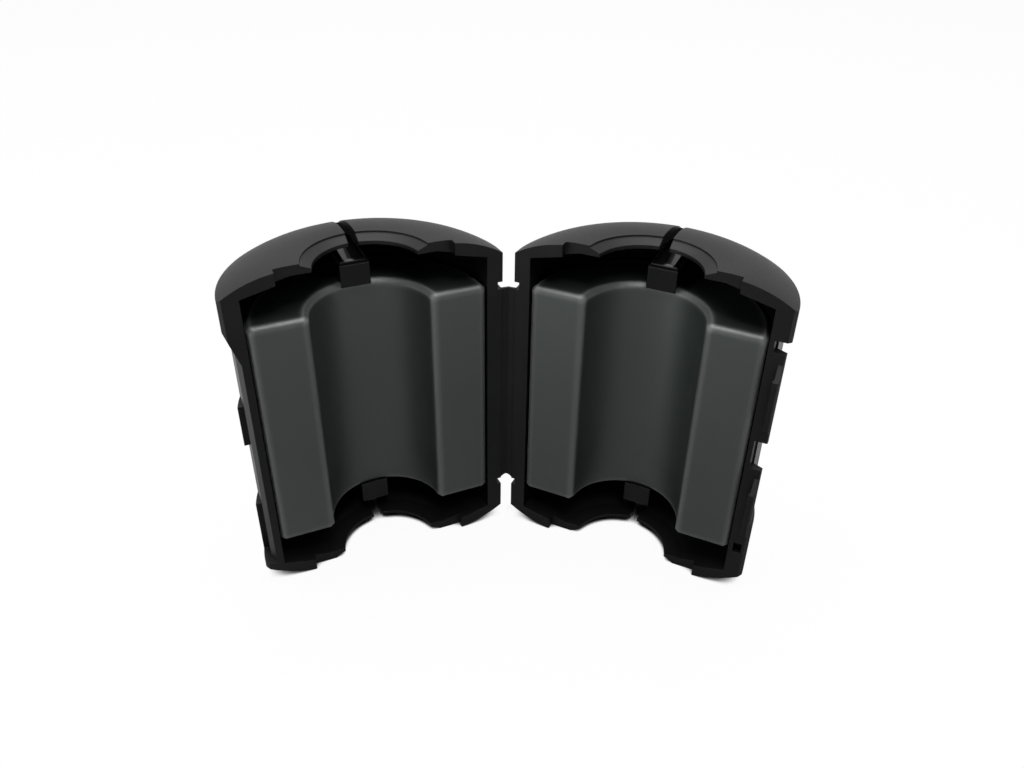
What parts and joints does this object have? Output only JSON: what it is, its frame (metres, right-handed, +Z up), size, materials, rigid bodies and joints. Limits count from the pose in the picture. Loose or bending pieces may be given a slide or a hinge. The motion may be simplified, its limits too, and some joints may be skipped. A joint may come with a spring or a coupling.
{
  "type": "clip-on ferrite bead",
  "caption": "Hinged black plastic case, half open, with half-round ferrite cores that close and latch around a cable to damp high-frequency noise.",
  "frame": {"origin": "middle of the part's box in plan, on the surface that the lower end stands on", "axes": "+Z up along both cable channels, +X from the left half to the right half, +Y towards the hinge, so the open side faces -Y"},
  "size_m": [0.058, 0.0224, 0.0392],
  "materials": {
    "case": "black moulded nylon, satin",
    "ferrite": "dark grey sintered ferrite, tumbled edges, dull"
  },
  "bodies": {
    "left_half": {"left_shell": "case", "left_ferrite": "ferrite", "hinge_web": "case"},
    "right_half": {"right_shell": "case", "right_ferrite": "ferrite"}
  },
  "joints": [
    {"name": "living_hinge", "type": "hinge", "parent": "left_half", "child": "right_half", "pos_m": [0, 0.00262, 0.0196], "axis": [0, 0, 1], "range_deg": [-130.6, 49.4], "deforming": ["hinge_web"]}
  ]
}
